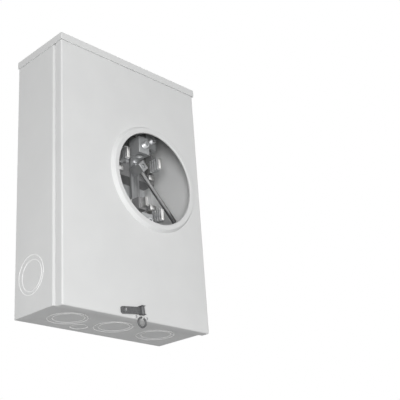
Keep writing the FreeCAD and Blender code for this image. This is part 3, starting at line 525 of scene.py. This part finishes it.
# The hasp, its bracket and pin, and the seal ring are steel with a dull grey phosphate finish.
# The keeper and the rivets are zinc plated, and the plating has gone grey outdoors.
dull_steel, shader = finish("dull_grey_steel", (0.12, 0.122, 0.125), metallic=0.35, roughness=0.58)
tint(dull_steel, grain(dull_steel, 500), shader.inputs["Base Color"], (0.095, 0.097, 0.1),
     (0.15, 0.152, 0.155))
vary(dull_steel, grain(dull_steel, 120), shader.inputs["Roughness"], 0.52, 0.64)
dress(dull_steel, "hasp", "hasp_bracket", "hasp_pin", "seal_ring")
soften(0.00025, 2, "hasp", "hasp_bracket")
worn_zinc, shader = finish("worn_zinc", (0.34, 0.343, 0.35), metallic=0.4, roughness=0.55)
tint(worn_zinc, grain(worn_zinc, 600), shader.inputs["Base Color"], (0.28, 0.283, 0.29),
     (0.42, 0.423, 0.43))
dress(worn_zinc, "keeper", "tab_rivets")

# The floor is pale and lies well below the box, as under a box on a wall, and white surrounds it.
# Both are brighter to the eye than to the box, so that they don't light it from below.
FLOOR, FLOOR_SIZE = -1.5, 6
FLOOR_SEEN, FLOOR_UNSEEN, FLOOR_GLOW = (0.88, 0.88, 0.88), (0.36, 0.36, 0.36), 0.4
AMBIENT = 0.36


def looked_at(tree):
    """One where the camera sees a surface itself, in a reflection or through glass, and nought elsewhere."""
    rays = tree.nodes.new("ShaderNodeLightPath")
    level = rays.outputs["Is Camera Ray"]
    for name in ("Is Glossy Ray", "Is Transmission Ray"):
        level = worked_out(tree, "MAXIMUM", level, rays.outputs[name])
    return level


ground = bmesh.new()
bmesh.ops.create_grid(ground, x_segments=1, y_segments=1, size=FLOOR_SIZE)
bmesh.ops.translate(ground, verts=ground.verts, vec=(0, 0, FLOOR))
mesh = bpy.data.meshes.new("floor")
ground.to_mesh(mesh)
ground.free()
floor = bpy.data.objects.new("floor", mesh)
bpy.context.collection.objects.link(floor)
pale, shader = finish("pale_floor", FLOOR_SEEN, metallic=0.0, roughness=0.7)
seen = looked_at(pale.node_tree)
tint(pale, seen, shader.inputs["Base Color"], FLOOR_UNSEEN, FLOOR_SEEN, 0.0, 1.0)
shader.inputs["Emission Color"].default_value = (1, 1, 1, 1)
vary(pale, seen, shader.inputs["Emission Strength"], 0.0, FLOOR_GLOW, 0.0, 1.0)
mesh.materials.append(pale)

world = bpy.data.worlds.new("studio")
bpy.context.scene.world = world
world.use_nodes = True
sky = world.node_tree.nodes["Background"]
sky.inputs["Color"].default_value = (1, 1, 1, 1)
vary(world, looked_at(world.node_tree), sky.inputs["Strength"], AMBIENT, 1.0, 0.0, 1.0)


# A soft lamp beside the camera lights the box from low on the left, as in the photograph.
# A faint one opens the shadows at the front, and a wide one behind fills the back.
def lamp(name, azimuth, elevation, distance, size, power):
    """A square soft lamp aimed at the middle of the box."""
    data = bpy.data.lights.new(name, "AREA")
    data.size = size
    data.energy = power
    a, e = math.radians(azimuth), math.radians(elevation)
    back = Vector((math.sin(a) * math.cos(e), -math.cos(a) * math.cos(e), math.sin(e)))
    item = bpy.data.objects.new(name, data)
    item.location = back * distance
    item.rotation_euler = back.to_track_quat("Z", "Y").to_euler()
    bpy.context.collection.objects.link(item)


lamp("key", azimuth=-40.5, elevation=-16, distance=2.5, size=0.8, power=45)
lamp("front", azimuth=16, elevation=0, distance=2.4, size=0.5, power=3)
lamp("back_fill", azimuth=150, elevation=25, distance=3.0, size=1.8, power=24)

# The camera stands low on the left and looks up, tilted a little, as in the photograph.
# Its shift keeps the box in the part of the frame that it has there.
EYE = Vector((-0.8604, -1.0394, -0.5673))
AZIMUTH, ELEVATION, ROLL = (math.radians(angle) for angle in (-42.63, -24.06, -2.22))
FOCAL_PIXELS, FRAME_PIXELS = 853.9, 400
SENSOR = 36
SHIFT_RIGHT, SHIFT_UP = 0.175, -0.0375
flat, climb = math.cos(ELEVATION), math.sin(ELEVATION)
ahead = Vector((-math.sin(AZIMUTH) * flat, math.cos(AZIMUTH) * flat, -climb))
level_right = Vector((math.cos(AZIMUTH), math.sin(AZIMUTH), 0))
level_up = level_right.cross(ahead)
right = math.cos(ROLL) * level_right + math.sin(ROLL) * level_up
above = math.cos(ROLL) * level_up - math.sin(ROLL) * level_right
camera = bpy.data.objects.new("camera", bpy.data.cameras.new("camera"))
bpy.context.collection.objects.link(camera)
bpy.context.scene.camera = camera
camera.matrix_world = Matrix.Translation(EYE) @ Matrix((right, above, -ahead)).transposed().to_4x4()
camera.data.sensor_width = SENSOR
camera.data.lens = SENSOR * FOCAL_PIXELS / FRAME_PIXELS
camera.data.shift_x = SHIFT_RIGHT
camera.data.shift_y = SHIFT_UP

bpy.context.scene.view_settings.view_transform = "Standard"
